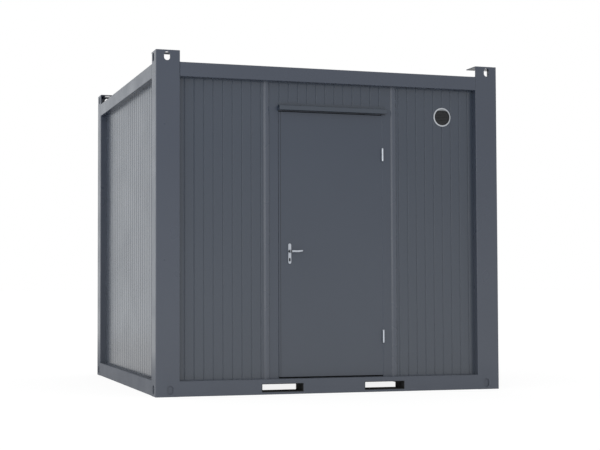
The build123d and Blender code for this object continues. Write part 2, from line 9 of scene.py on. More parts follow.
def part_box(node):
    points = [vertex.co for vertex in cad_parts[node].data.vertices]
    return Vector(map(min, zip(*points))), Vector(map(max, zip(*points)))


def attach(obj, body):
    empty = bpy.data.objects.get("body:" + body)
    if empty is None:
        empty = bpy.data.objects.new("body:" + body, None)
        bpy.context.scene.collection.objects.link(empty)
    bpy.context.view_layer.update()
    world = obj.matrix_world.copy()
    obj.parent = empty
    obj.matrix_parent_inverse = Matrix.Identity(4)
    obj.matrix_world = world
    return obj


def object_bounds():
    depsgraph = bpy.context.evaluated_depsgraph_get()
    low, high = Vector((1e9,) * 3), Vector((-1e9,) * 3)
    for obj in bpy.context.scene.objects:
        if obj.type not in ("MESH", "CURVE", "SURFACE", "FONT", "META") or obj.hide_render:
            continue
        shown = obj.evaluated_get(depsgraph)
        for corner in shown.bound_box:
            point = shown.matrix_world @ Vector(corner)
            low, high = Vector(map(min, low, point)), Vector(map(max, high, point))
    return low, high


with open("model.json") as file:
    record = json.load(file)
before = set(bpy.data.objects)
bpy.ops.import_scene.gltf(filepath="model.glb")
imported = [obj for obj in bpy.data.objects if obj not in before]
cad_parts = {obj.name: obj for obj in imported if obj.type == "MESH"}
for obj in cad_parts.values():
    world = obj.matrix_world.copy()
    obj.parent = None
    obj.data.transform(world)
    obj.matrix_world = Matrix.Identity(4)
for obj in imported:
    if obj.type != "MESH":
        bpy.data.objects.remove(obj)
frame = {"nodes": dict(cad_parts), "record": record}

# The portable site cabin, finished: paints and linings on the CAD nodes, and around them what
# is too fine for CAD, such as the door seal, the lock's plates, the vent's slats, weld beads,
# fixings and the room's mouldings. Metres; +X right, +Y back, +Z up.

MM = 0.001
cad_low, cad_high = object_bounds()
node = frame["nodes"]

# --- places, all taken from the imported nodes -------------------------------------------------
leaf_low, leaf_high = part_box("door_leaf")
plates_low, plates_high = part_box("handle_plates")
cylinder_low, cylinder_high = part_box("lock_cylinder")
canopy_low, canopy_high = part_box("rain_canopy")
screen_low, screen_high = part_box("vent_mesh")
ceiling_low, ceiling_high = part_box("ceiling_panel")
roof_low, roof_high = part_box("roof_sheet")
jamb_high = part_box("door_frame")[1]

ROOM_X = ceiling_high.x                  # half the room, lining to lining
ROOM_Y = ceiling_high.y
FLOOR_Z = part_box("floor_deck")[1].z
CEILING_Z = ceiling_low.z
FACE = leaf_low.y                        # outer skin of the front wall and the leaf
WALL_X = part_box("right_wall")[1].x       # outer skin of the side walls
GROOVE_DEPTH = 2.5 * MM
LEAF_BACK = leaf_high.y
LINING = jamb_high.y                     # inner face of the door frame


# --- small tools -----------------------------------------------------------------------------
def linear(colour):
    """An sRGB hex colour as linear RGBA."""
    parts = [int(colour[i:i + 2], 16) / 255 for i in (1, 3, 5)]
    bent = [p / 12.92 if p <= 0.04045 else ((p + 0.055) / 1.055) ** 2.4 for p in parts]
    return (*bent, 1.0)


def add(tree, kind, inputs=None, **settings):
    """One node, set and linked: an input is a value, another node's socket or a list of them."""
    made = tree.nodes.new(kind)
    for name, value in settings.items():
        setattr(made, name, value)
    for name, value in (inputs or {}).items():
        for one in value if isinstance(value, list) else [value]:
            if isinstance(one, bpy.types.NodeSocket):
                tree.links.new(one, made.inputs[name])
            else:
                made.inputs[name].default_value = one
    return made


SHARP_EDGE = math.radians(35)            # faces that meet more gently are shaded as one


def piece(name, mesh, body, finish=None):
    """A finished piece of the cabin: its place is in its mesh, and it rides on one body."""
    made = bpy.data.objects.new(name, mesh)
    bpy.context.scene.collection.objects.link(made)
    if finish:
        mesh.materials.clear()
        mesh.materials.append(finish)
    mesh.polygons.foreach_set("use_smooth", [True] * len(mesh.polygons))
    mesh.set_sharp_from_angle(angle=SHARP_EDGE)
    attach(made, body)


def mesh_of(shell):
    """Closes a bmesh up: doubles merged, faces turned outwards."""
    bmesh.ops.remove_doubles(shell, verts=shell.verts, dist=1e-6)
    bmesh.ops.recalc_face_normals(shell, faces=shell.faces)
    mesh = bpy.data.meshes.new("mesh")
    shell.to_mesh(mesh)
    shell.free()
    return mesh


def joined(meshes):
    """Several meshes as one, their materials kept."""
    shell = bmesh.new()
    materials = []
    for mesh in meshes:
        first = len(shell.faces)
        shell.from_mesh(mesh)
        shell.faces.ensure_lookup_table()
        for material in mesh.materials:
            if material not in materials:
                materials.append(material)
        for face in shell.faces[first:]:
            if mesh.materials:
                face.material_index = materials.index(mesh.materials[face.material_index])
    whole = bpy.data.meshes.new("mesh")
    shell.to_mesh(whole)
    shell.free()
    for material in materials:
        whole.materials.append(material)
    return whole


def bridge(shell, near, far):
    """A band of faces from one ring of corners to the next."""
    for i in range(len(near)):
        j = (i + 1) % len(near)
        shell.faces.new((near[i], near[j], far[j], far[i]))


def prism(outline, place, start, end):
    """A plate or bar: an outline, given in two of the axes, drawn out along the third."""
    shell = bmesh.new()
    near, far = [[shell.verts.new(place(a, b, c)) for a, b in outline] for c in (start, end)]
    shell.faces.new(near)
    shell.faces.new(far)
    bridge(shell, near, far)
    return mesh_of(shell)


def moulding(path, section, place, closed=False):
    """A profile carried round a path with mitred corners; both lie in their own planes."""
    shell = bmesh.new()
    rings = []
    last = len(path) - 1
    for i, here in enumerate(path):
        here = Vector(here)
        sides = []
        for a, b in ((i - 1, i), (i, i + 1)):
            if closed or (a >= 0 and b <= last):
                run = (Vector(path[b % len(path)]) - Vector(path[a])).normalized()
                sides.append(Vector((-run.y, run.x)))
        mitre = sides[0]
        if len(sides) == 2:
            mitre = (sides[0] + sides[1]) / (1 + sides[0].dot(sides[1]))
        rings.append([shell.verts.new(place(*(here + mitre * out), up)) for out, up in section])
    for i in range(len(rings) if closed else last):
        bridge(shell, rings[i], rings[(i + 1) % len(rings)])
    if not closed:
        shell.faces.new(rings[0])
        shell.faces.new(rings[-1])
    return mesh_of(shell)


def turned(section, centre, count=32):
    """A ring about a line along Y: a closed section of (radius, y) swept all the way round."""
    shell = bmesh.new()
    rings = []
    for n in range(count):
        angle = 2 * math.pi * n / count
        across, up = math.cos(angle), math.sin(angle)
        rings.append([shell.verts.new((centre.x + radius * across, y, centre.z + radius * up))
                      for radius, y in section])
    for near, far in zip(rings, rings[1:] + rings[:1]):
        bridge(shell, near, far)
    return mesh_of(shell)


def about(x, y, *points):
    """Points given in millimetres about a place in metres, as an outline in metres."""
    return [(x + a * MM, y + b * MM) for a, b in points]


def rounded(middle, width, height, corner, steps=4):
    """Outline of a rounded rectangle about its middle."""
    outline = []
    for turn, (sx, sy) in enumerate(((1, 1), (-1, 1), (-1, -1), (1, -1))):
        for step in range(steps + 1):
            angle = math.radians(90 * turn + 90 * step / steps)
            outline.append((
                middle[0] + (sx * (width / 2 - corner) + corner * math.cos(angle)),
                middle[1] + (sy * (height / 2 - corner) + corner * math.sin(angle)),
            ))
    return outline


def on_front(x, z, y):
    """For an outline as seen from the front, drawn out along the depth."""
    return Vector((x, y, z))


def in_plan(x, y, z):
    """For an outline as seen from above, drawn out along the height."""
    return Vector((x, y, z))


def along_width(y, z, x):
    """For an outline as seen from the side, drawn out along the width."""
    return Vector((x, y, z))


# --- finishes --------------------------------------------------------------------------------
def finish_start(name):
    """A new material: its tree, its shader and the coordinates that patterns follow."""
    material = bpy.data.materials.new(name)
    material.use_nodes = True
    tree = material.node_tree
    tree.nodes.clear()
    shader = add(tree, "ShaderNodeBsdfPrincipled")
    add(tree, "ShaderNodeOutputMaterial", {"Surface": shader.outputs["BSDF"]})
    where = add(tree, "ShaderNodeTexCoord").outputs["Object"]
    return material, tree, shader, where


def drift(tree, where, size, low, high):
    """A slow wander between two values, over patches of a given size in metres."""
    noise = add(tree, "ShaderNodeTexNoise", {"Vector": where, "Scale": 1 / size, "Detail": 2.0})
    return add(tree, "ShaderNodeMapRange", {
        "Value": noise.outputs["Fac"], "From Min": 0.3, "From Max": 0.7,
        "To Min": low, "To Max": high,
    }).outputs["Result"]


def blend_of(tree, factor, first, second):
    """A colour between two, each a hex value or a socket."""
    made = add(tree, "ShaderNodeMix", {"Factor": factor}, data_type="RGBA")
    for socket, colour in ((made.inputs[6], first), (made.inputs[7], second)):
        if isinstance(colour, str):
            socket.default_value = linear(colour)
        else:
            tree.links.new(colour, socket)
    return made.outputs[2]


def room_mask(tree, where):
    """1 on every surface inside the linings, 0 outside them."""
    middle = (0.0, 0.0, (FLOOR_Z + CEILING_Z) / 2)
    half = (ROOM_X + MM, ROOM_Y + MM, (CEILING_Z - FLOOR_Z) / 2 + MM)
    offset = add(tree, "ShaderNodeVectorMath", {0: where, 1: middle}, operation="SUBTRACT")
    scaled = add(tree, "ShaderNodeVectorMath", {0: offset.outputs[0], 1: half}, operation="DIVIDE")
    parts = add(tree, "ShaderNodeSeparateXYZ", {"Vector": scaled.outputs[0]})
    inside = None
    for axis in "XYZ":
        size = add(tree, "ShaderNodeMath", {0: parts.outputs[axis]}, operation="ABSOLUTE")
        within = add(tree, "ShaderNodeMath", {0: size.outputs[0], 1: 1.0}, operation="LESS_THAN")
        if inside:
            within = add(tree, "ShaderNodeMath", {0: inside.outputs[0], 1: within.outputs[0]},
                         operation="MULTIPLY")
        inside = within
    return inside.outputs[0]


def fading_up(tree, where, share, foot, top):
    """A share that is full at the foot and none at the top, two heights in metres."""
    height = add(tree, "ShaderNodeSeparateXYZ", {"Vector": where}).outputs["Z"]
    return add(tree, "ShaderNodeMapRange", {
        "Value": height, "From Min": foot, "From Max": top, "To Min": share, "To Max": 0.0,
    }).outputs["Result"]


# Pale film towards the ground: part road dust, part painted light lifting the low paint.
DUST_AND_FLOOR_LIGHT, DUST_AND_LIGHT_COVER = "#8C8D8C", 0.09
LINING_WHITE = "#DDDEDF"
PEEL_SIZE = 14 * MM


def dusted_and_lit_low(tree, where, paint, cover=DUST_AND_LIGHT_COVER):
    """Paint under a pale film, thinning from the ground to door height: dust and painted light."""
    film = fading_up(tree, where, cover, foot=0.1, top=2.0)
    return blend_of(tree, film, paint, DUST_AND_FLOOR_LIGHT)


def sprayed_steel(name, tone, shade, gloss, dust=DUST_AND_LIGHT_COVER, scuffed=0.0, lining=None):
    """Sprayed two-pack paint on folded steel: an even satin film with a soft orange peel.

    Scuffs make it duller close to the ground. Real peel is 2 to 4 mm across; it is drawn wider
    so that it still softens a reflection.
    """
    material, tree, shader, where = finish_start(name)
    paint = blend_of(tree, drift(tree, where, 0.9, 0.0, 1.0), tone, shade)
    # The pale film lightens the paint low down: part dust, part painted light.
    paint = dusted_and_lit_low(tree, where, paint, dust)
    if lining:
        paint = blend_of(tree, room_mask(tree, where), paint, lining)
    tree.links.new(paint, shader.inputs["Base Color"])
    rough = add(tree, "ShaderNodeMath", {
        0: drift(tree, where, 0.25, gloss - 0.04, gloss + 0.05),
        1: fading_up(tree, where, scuffed, foot=0.12, top=0.36),
    }, operation="ADD")
    tree.links.new(rough.outputs[0], shader.inputs["Roughness"])
    peel = add(tree, "ShaderNodeTexNoise", {
        "Vector": where, "Scale": 1 / PEEL_SIZE, "Detail": 1.0,
    })
    dented = add(tree, "ShaderNodeBump", {
        "Height": peel.outputs["Fac"], "Strength": 0.25, "Distance": 0.3 * MM,
    })
    tree.links.new(dented.outputs["Normal"], shader.inputs["Normal"])
    shader.inputs["IOR"].default_value = 1.5
    return material


FRAME_PAINT = sprayed_steel("anthracite_frame_paint", "#383F4C", "#3A414E", 0.30,
                            scuffed=0.3, lining=LINING_WHITE)
DOOR_PAINT = sprayed_steel("anthracite_door_paint", "#333B48", "#353D4A", 0.32)
TRIM_PAINT = sprayed_steel("anthracite_trim_paint", "#3D4450", "#3F4652", 0.28)
CANOPY_PAINT = sprayed_steel("anthracite_canopy_paint", "#333B46", "#353D48", 0.34)
# Near-black underseal: real, and also painted shade inside the fork pockets.
UNDERSEAL_AND_POCKET_SHADE = sprayed_steel("black_underseal_and_pocket_shade", "#0B0D0E", "#111314", 0.9, dust=0.0)

GROOVE_BLOOM = 0.4                       # how much rougher the skin is in a groove
WAVE_SIZE, WAVE_STRETCH = 60 * MM, 0.03


def coil_coated(name, tone, shade):
    """Polyester coil coating on rolled steel skins: smoother and a little duller than paint.

    The outer skin is anthracite and the room side is the maker's usual pale grey-white.
    """
    material, tree, shader, where = finish_start(name)
    # The pale film lightens the skin low down: part dust, part painted light.
    outer = dusted_and_lit_low(tree, where, blend_of(tree, drift(tree, where, 1.2, 0.0, 1.0), tone, shade))
    tree.links.new(blend_of(tree, room_mask(tree, where), outer, LINING_WHITE),
                   shader.inputs["Base Color"])
    # Grooves keep a duller bloom than the flats, so they read as lines at a low angle. On the
    # side walls the bloom takes in their flanks as well.
    parts = add(tree, "ShaderNodeSeparateXYZ", {"Vector": where})
    grooves = []
    for axis, skin, reach in (("X", WALL_X, 2.2 * MM), ("Y", FACE, MM)):
        size = add(tree, "ShaderNodeMath", {0: parts.outputs[axis]}, operation="ABSOLUTE")
        grooves.append(add(tree, "ShaderNodeMath", {
            0: size.outputs[0], 1: abs(skin) - GROOVE_DEPTH, 2: reach,
        }, operation="COMPARE"))
    groove = add(tree, "ShaderNodeMath", {
        0: grooves[0].outputs[0], 1: grooves[1].outputs[0],
    }, operation="MAXIMUM")
    duller = add(tree, "ShaderNodeMath", {
        0: groove.outputs[0], 1: GROOVE_BLOOM, 2: drift(tree, where, 0.4, 0.22, 0.27),
    }, operation="MULTIPLY_ADD")
    tree.links.new(duller.outputs[0], shader.inputs["Roughness"])
    # The skin is not dead flat: long shallow waves run up it from the rolling line.
    stretched = add(tree, "ShaderNodeMapping", {
        "Vector": where, "Scale": (1.0, 1.0, WAVE_STRETCH),
    })
    wave = add(tree, "ShaderNodeTexNoise", {
        "Vector": stretched.outputs["Vector"], "Scale": 1 / WAVE_SIZE, "Detail": 1.0,
    })
    rolled = add(tree, "ShaderNodeBump", {
        "Height": wave.outputs["Fac"], "Strength": 0.2, "Distance": 0.5 * MM,
    })
    tree.links.new(rolled.outputs["Normal"], shader.inputs["Normal"])
    return material


WALL_SKIN = coil_coated("anthracite_coil_coated_skin", "#343C48", "#363E4A")


def plain_lining(name, tone, shade, rough, grain_mm):
    """White melamine or PVC face: matt, with a fine even grain.

    Real grain is under 1 mm; it is drawn 3 to 6 mm wide so that it shows.
    """
    material, tree, shader, where = finish_start(name)
    tree.links.new(blend_of(tree, drift(tree, where, 0.5, 0, 1), tone, shade),
                   shader.inputs["Base Color"])
    shader.inputs["Roughness"].default_value = rough
    grain = add(tree, "ShaderNodeTexNoise", {
        "Vector": where, "Scale": 1000 / grain_mm, "Detail": 3.0,
    })
    bump = add(tree, "ShaderNodeBump", {
        "Height": grain.outputs["Fac"], "Strength": 0.2, "Distance": 0.1 * MM,
    })
    tree.links.new(bump.outputs["Normal"], shader.inputs["Normal"])
    return material


CEILING_WHITE = plain_lining("white_ceiling_lining", "#E4E5E6", "#DFE0E1", 0.55, 3)
TRIM_WHITE = plain_lining("white_pvc_trim", "#E8E9EA", "#E3E4E5", 0.4, 6)


def even_face(name, tone, shade, patch, rough, metallic=0.0):
    """A face of one gloss, whose tone wanders a little over patches of a size in metres."""
    material, tree, shader, where = finish_start(name)
    tree.links.new(blend_of(tree, drift(tree, where, patch, 0, 1), tone, shade),
                   shader.inputs["Base Color"])
    shader.inputs["Roughness"].default_value = rough
    shader.inputs["Metallic"].default_value = metallic
    return material


# Extruded EPDM and sealant: dull and even, faintly dusty in patches.
SEAL_RUBBER = even_face("black_epdm_rubber", "#121315", "#1A1B1D", 0.05, 0.7)
GASKET_GREY = even_face("anthracite_epdm_rubber", "#4A515D", "#4D545F", 0.05, 0.7)
# The sealant's dark grey also stands as painted shade under the rain canopy.
SEALANT_AND_SHADE = even_face("dark_grey_sealant_and_shade", "#22272F", "#282D35", 0.05, 0.7)
# Charcoal ABS: a fine even texture that scatters what little light reaches it.
CHARCOAL = even_face("charcoal_moulded_plastic", "#1D1F21", "#242628", 0.03, 0.5)
# Chemically blackened brass: a small near-black metal face with a soft sheen.
BLACK_BRASS = even_face("blackened_brass", "#1A1B1D", "#232426", 0.004, 0.38, metallic=1.0)
# Painted shade: a near-black face standing for the inside of a hole that light hardly enters.
HOLE_SHADE = even_face("painted_hole_shade", "#0B0C0E", "#141518", 0.02, 0.9)

LINE_STRETCH = 30                        # a brushing line's length over its width


def brushed(name, tone, shade, rough, lines_mm, along):
    """Satin stainless or aluminium: fine brushing lines along one axis, soft stretched gloss.

    Real lines are under 0.3 mm apart; they are drawn 0.8 to 1.2 mm apart so that they show.
    """
    material, tree, shader, where = finish_start(name)
    shader.inputs["Metallic"].default_value = 1.0
    fine = 1000 / lines_mm
    scale = tuple(fine / LINE_STRETCH if axis == along else fine for axis in "XYZ")
    run = add(tree, "ShaderNodeMapping", {"Vector": where, "Scale": scale})
    lines = add(tree, "ShaderNodeTexNoise", {
        "Vector": run.outputs["Vector"], "Scale": 1.0, "Detail": 2.0,
    })
    tree.links.new(blend_of(tree, lines.outputs["Fac"], tone, shade), shader.inputs["Base Color"])
    tree.links.new(add(tree, "ShaderNodeMapRange", {
        "Value": lines.outputs["Fac"], "To Min": rough - 0.06, "To Max": rough + 0.06,
    }).outputs["Result"], shader.inputs["Roughness"])
    bump = add(tree, "ShaderNodeBump", {
        "Height": lines.outputs["Fac"], "Strength": 0.15, "Distance": 0.05 * MM,
    })
    tree.links.new(bump.outputs["Normal"], shader.inputs["Normal"])
    return material


SATIN_STEEL = brushed("satin_stainless_steel", "#B4B9C1", "#A9AEB6", 0.32, 0.8, "Z")
SATIN_RING = brushed("satin_aluminium", "#B9BDC2", "#ABAFB5", 0.34, 0.8, "Y")
# Black anodising on the threshold, dark also as painted shade for the gap under the door.
SILL_METAL_AND_GAP_SHADE = brushed("black_anodised_aluminium_and_gap_shade", "#2B2D30", "#222427", 0.45, 1.2, "X")
# Dulled aluminium for the vent's rain lip, darker also as painted shade inside the bore.
LIP_METAL_AND_SHADE = brushed("dulled_aluminium_and_shade", "#85898D", "#767A7E", 0.5, 1.2, "X")

CHIP_SIZE, FIBRE_SIZE = 5 * MM, 12 * MM


def vinyl():
    """Homogeneous vinyl sheet: closely speckled in greys and white, with a low sheen.

    Under it, and on its edges, shows dark film-faced plywood, also painted shade at the door.
    """
    material, tree, shader, where = finish_start("speckled_vinyl_sheet")
    chips = add(tree, "ShaderNodeTexVoronoi", {"Vector": where, "Scale": 1 / CHIP_SIZE})
    speck = add(tree, "ShaderNodeValToRGB", {"Fac": chips.outputs["Color"]})
    speck.color_ramp.elements.new(0.5)
    for stop, colour in zip(speck.color_ramp.elements, ("#7C7F83", "#909396", "#FFFFFF")):
        stop.color = linear(colour)
    facing = add(tree, "ShaderNodeSeparateXYZ", {
        "Vector": add(tree, "ShaderNodeTexCoord").outputs["Normal"],
    })
    up = add(tree, "ShaderNodeMath", {0: facing.outputs["Z"], 1: 0.5}, operation="GREATER_THAN")
    fibre = add(tree, "ShaderNodeTexNoise", {
        "Vector": where, "Scale": 1 / FIBRE_SIZE, "Detail": 4.0,
    })
    # The dark board also serves as painted shade in the gap under the door.
    board_and_gap_shade = blend_of(tree, fibre.outputs["Fac"], "#211D1B", "#2B2623")
    tree.links.new(blend_of(tree, up.outputs[0], board_and_gap_shade, speck.outputs["Color"]),
                   shader.inputs["Base Color"])
    shader.inputs["Roughness"].default_value = 0.48
    grain = add(tree, "ShaderNodeBump", {
        "Height": fibre.outputs["Fac"], "Strength": 0.15, "Distance": 0.1 * MM,
    })
    tree.links.new(grain.outputs["Normal"], shader.inputs["Normal"])
    return material


FLOOR_VINYL = vinyl()

DRAWN_MESH = 3 * MM
WAVE_BANDS = 6.28                        # in a metre of a wave texture whose scale is 1


def woven_screen():
    """Black insect mesh seen face on: two sets of fine wires, with painted shade between them.

    The wires are 1.2 mm apart; they are drawn 3 mm apart so that they don't shimmer.
    """
    material, tree, shader, where = finish_start("woven_insect_screen")
    scale = 1 / DRAWN_MESH / WAVE_BANDS
    warp, weft = [add(tree, "ShaderNodeTexWave", {"Vector": where, "Scale": scale},
                      bands_direction=axis).outputs["Fac"] for axis in "XZ"]
    both = add(tree, "ShaderNodeMath", {0: warp, 1: weft}, operation="MAXIMUM")
    tree.links.new(blend_of(tree, both.outputs[0], "#0A0B0C", "#26282B"),
                   shader.inputs["Base Color"])
    shader.inputs["Roughness"].default_value = 0.6
    return material


SCREEN = woven_screen()

finishes = {
    "frame_paint": FRAME_PAINT, "wall_skin": WALL_SKIN, "trim_paint": TRIM_PAINT,
    "door_paint": DOOR_PAINT, "roof_sheet": FRAME_PAINT, "underframe_paint": UNDERSEAL_AND_POCKET_SHADE,
    "floor_covering": FLOOR_VINYL, "ceiling_lining": CEILING_WHITE, "threshold": SILL_METAL_AND_GAP_SHADE,
    "satin_hardware": SATIN_STEEL, "vent_metal": SATIN_RING, "vent_screen": SCREEN,
}


def coat(made, finish):
    """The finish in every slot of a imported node."""
    if not made.material_slots:
        made.data.materials.append(finish)
    for held in made.material_slots:
        held.material = finish


for subpart in frame["record"]["subparts"]:
    coat(node[subpart["node"]], finishes[subpart["material_slot"]])
coat(node["lock_cylinder"], BLACK_BRASS)
coat(node["rain_canopy"], CANOPY_PAINT)


# --- repeats, grown by rule ------------------------------------------------------------------
def path_mesh(paths):
    """Open lines as bare edges, for a bead to follow."""
    mesh = bpy.data.meshes.new("mesh")
    points, edges = [], []
    for path in paths:
        edges += [(len(points) + i, len(points) + i + 1) for i in range(len(path) - 1)]
        points += path
    mesh.from_pydata(points, edges, [])
    return mesh


def rule(name, sizes, base=False):
    """A geometry tree with named inputs; returns it, its input sockets and its output node."""
    tree = bpy.data.node_groups.new(name, "GeometryNodeTree")
    tree.interface.new_socket("Geometry", in_out="OUTPUT", socket_type="NodeSocketGeometry")
    if base:
        tree.interface.new_socket("Path", in_out="INPUT", socket_type="NodeSocketGeometry")
    for label, kind in sizes.items():
        tree.interface.new_socket(label, in_out="INPUT", socket_type="NodeSocket" + kind)
    source = add(tree, "NodeGroupInput")
    return tree, source.outputs, add(tree, "NodeGroupOutput")


def grown(tree, values, path=None):
    """The plain mesh that a tree makes from these sizes."""
    holder = bpy.data.objects.new("holder", path or bpy.data.meshes.new("mesh"))
    bpy.context.scene.collection.objects.link(holder)
    modifier = holder.modifiers.new("rule", "NODES")
    modifier.node_group = tree
    for socket in tree.interface.items_tree:
        if socket.in_out == "INPUT" and socket.name in values:
            modifier[socket.identifier] = values[socket.name]
    graph = bpy.context.evaluated_depsgraph_get()
    mesh = bpy.data.meshes.new_from_object(holder.evaluated_get(graph))
    holder.modifiers.clear()
    bpy.data.objects.remove(holder)
    return mesh


def last_steps(tree, output, shape, finish):
    """Instances made real, and the finish set."""
    real = add(tree, "GeometryNodeRealizeInstances", {"Geometry": shape})
    done = add(tree, "GeometryNodeSetMaterial", {
        "Geometry": real.outputs["Geometry"], "Material": finish,
    })
    tree.links.new(done.outputs["Geometry"], output.inputs["Geometry"])
    return tree


def fixing_row_rule():
    """A row of domed heads on washers, from one point to another."""
    tree, size, output = rule("fixing_row", {
        "First": "Vector", "Last": "Vector", "Count": "Int", "Turn": "Vector",
        "Head Radius": "Float", "Head Rise": "Float", "Finish": "Material",
    })
    points = add(tree, "GeometryNodeMeshLine", {
        "Count": size["Count"], "Start Location": size["First"], "Offset": size["Last"],
    }, mode="END_POINTS")
    wide = add(tree, "ShaderNodeMath", {0: size["Head Radius"], 1: 1.5}, operation="MULTIPLY")
    thin = add(tree, "ShaderNodeMath", {0: size["Head Rise"], 1: 0.3}, operation="MULTIPLY")
    narrow = add(tree, "ShaderNodeMath", {0: size["Head Radius"], 1: 0.55}, operation="MULTIPLY")
    washer = add(tree, "GeometryNodeMeshCylinder", {
        "Vertices": 16, "Radius": wide.outputs[0], "Depth": thin.outputs[0],
    })
    head = add(tree, "GeometryNodeMeshCone", {
        "Vertices": 16, "Radius Bottom": size["Head Radius"], "Radius Top": narrow.outputs[0],
        "Depth": size["Head Rise"],
    })
    both = add(tree, "GeometryNodeJoinGeometry", {
        "Geometry": [washer.outputs["Mesh"], head.outputs["Mesh"]],
    })
    facing = add(tree, "FunctionNodeEulerToRotation", {"Euler": size["Turn"]})
    placed = add(tree, "GeometryNodeInstanceOnPoints", {
        "Points": points.outputs["Mesh"], "Instance": both.outputs["Geometry"],
        "Rotation": facing.outputs["Rotation"],
    })
    return last_steps(tree, output, placed.outputs["Instances"], size["Finish"])


def louvre_rule():
    """Level slats across a round opening, each tilted and cut to the circle's chord."""
    tree, size, output = rule("louvres", {
        "Bore": "Float", "Pitch": "Float", "Count": "Int", "Depth": "Float",
        "Thickness": "Float", "Tilt": "Float", "Finish": "Material",
    })
    gaps = add(tree, "ShaderNodeMath", {0: size["Count"], 1: 1.0}, operation="SUBTRACT")
    span = add(tree, "ShaderNodeMath", {
        0: gaps.outputs[0], 1: size["Pitch"],
    }, operation="MULTIPLY")
    low = add(tree, "ShaderNodeMath", {0: span.outputs[0], 1: -0.5}, operation="MULTIPLY")
    line = add(tree, "GeometryNodeMeshLine", {
        "Count": size["Count"],
        "Start Location": add(tree, "ShaderNodeCombineXYZ", {"Z": low.outputs[0]}).outputs[0],
        "Offset": add(tree, "ShaderNodeCombineXYZ", {"Z": size["Pitch"]}).outputs[0],
    })
    place = add(tree, "ShaderNodeSeparateXYZ", {
        "Vector": add(tree, "GeometryNodeInputPosition").outputs["Position"],
    })
    up = add(tree, "ShaderNodeMath", {0: place.outputs["Z"], 1: 2.0}, operation="POWER")
    around = add(tree, "ShaderNodeMath", {0: size["Bore"], 1: 2.0}, operation="POWER")
    left = add(tree, "ShaderNodeMath", {
        0: around.outputs[0], 1: up.outputs[0],
    }, operation="SUBTRACT")
    chord = add(tree, "ShaderNodeMath", {0: left.outputs[0]}, operation="SQRT")
    length = add(tree, "ShaderNodeMath", {0: chord.outputs[0], 1: 2.0}, operation="MULTIPLY")
    slat = add(tree, "GeometryNodeMeshCube", {
        "Size": add(tree, "ShaderNodeCombineXYZ", {
            "X": 1.0, "Y": size["Depth"], "Z": size["Thickness"],
        }).outputs[0],
    })
    tilt = add(tree, "FunctionNodeEulerToRotation", {
        "Euler": add(tree, "ShaderNodeCombineXYZ", {"X": size["Tilt"]}).outputs[0],
    })
    stretch = add(tree, "ShaderNodeCombineXYZ", {"X": length.outputs[0], "Y": 1.0, "Z": 1.0})
    placed = add(tree, "GeometryNodeInstanceOnPoints", {
        "Points": line.outputs["Mesh"], "Instance": slat.outputs["Mesh"],
        "Rotation": tilt.outputs["Rotation"], "Scale": stretch.outputs[0],
    })
    return last_steps(tree, output, placed.outputs["Instances"], size["Finish"])


RIPPLE_TURN = 2.4                        # radians from one step along the weld to the next


def weld_bead_rule():
    """A fillet weld along a path: a half-sunk bead that swells and narrows with each ripple."""
    tree, size, output = rule("weld_bead", {
        "Radius": "Float", "Ripple": "Float", "Finish": "Material",
    }, base=True)
    path = add(tree, "GeometryNodeMeshToCurve", {"Mesh": size["Path"]})
    step = add(tree, "ShaderNodeMath", {0: size["Ripple"], 1: 0.5}, operation="MULTIPLY")
    even = add(tree, "GeometryNodeResampleCurve", {
        "Curve": path.outputs["Curve"], "Length": step.outputs[0],
    }, mode="LENGTH")
    index = add(tree, "GeometryNodeInputIndex")
    turn = add(tree, "ShaderNodeMath", {
        0: index.outputs[0], 1: RIPPLE_TURN,
    }, operation="MULTIPLY")
    swell = add(tree, "ShaderNodeMath", {0: turn.outputs[0]}, operation="SINE")
    scale = add(tree, "ShaderNodeMapRange", {
        "Value": swell.outputs[0], "From Min": -1.0, "From Max": 1.0,
        "To Min": 0.85, "To Max": 1.1,
    })
    profile = add(tree, "GeometryNodeCurvePrimitiveCircle", {
        "Resolution": 8, "Radius": size["Radius"],
    })
    bead = add(tree, "GeometryNodeCurveToMesh", {
        "Curve": even.outputs["Curve"], "Profile Curve": profile.outputs["Curve"],
        "Scale": scale.outputs["Result"], "Fill Caps": True,
    })
    return last_steps(tree, output, bead.outputs["Mesh"], size["Finish"])


FIXING_ROW = fixing_row_rule()
LOUVRES = louvre_rule()
WELD_BEAD = weld_bead_rule()


# --- vent ------------------------------------------------------------------------------------
vent = (screen_low + screen_high) / 2
bore = (screen_high.x - screen_low.x) / 2                # the round opening's radius
louvres = grown(LOUVRES, {
    "Bore": bore - 0.5 * MM, "Pitch": 13 * MM, "Count": 9, "Depth": 7 * MM,
    "Thickness": 1.2 * MM, "Tilt": math.radians(-40), "Finish": CHARCOAL,
})
louvres.transform(Matrix.Translation((vent.x, FACE - 0.5 * MM, vent.z)))
piece("vent_louvres", louvres, "cabin")

# The rain lip covers the top of the bore; its lower edge arches up a little between its ends.
LIP_ENDS, LIP_RISE = 52 * MM, 4 * MM     # the ends' height over the vent's middle, and the arch
LIP_OUT, LIP_THICK = 3.4 * MM, 1.2 * MM
end_angle = math.asin(LIP_ENDS / bore)
half_width = bore * math.cos(end_angle)
angles = [end_angle + (math.pi - 2 * end_angle) * n / 12 for n in range(13)]
rim = [(bore * math.cos(a), bore * math.sin(a)) for a in angles]
arch = [(half_width * t / 5, LIP_ENDS + LIP_RISE * (1 - (t / 5) ** 2)) for t in range(-4, 5)]
# The lip's darker metal is partly painted shade, where it sits in the bore's shadow.
piece("vent_rain_lip", prism(
    [(vent.x + x, vent.z + z) for x, z in rim + arch],
    on_front, FACE - LIP_OUT - LIP_THICK, FACE - LIP_OUT), "cabin", LIP_METAL_AND_SHADE)

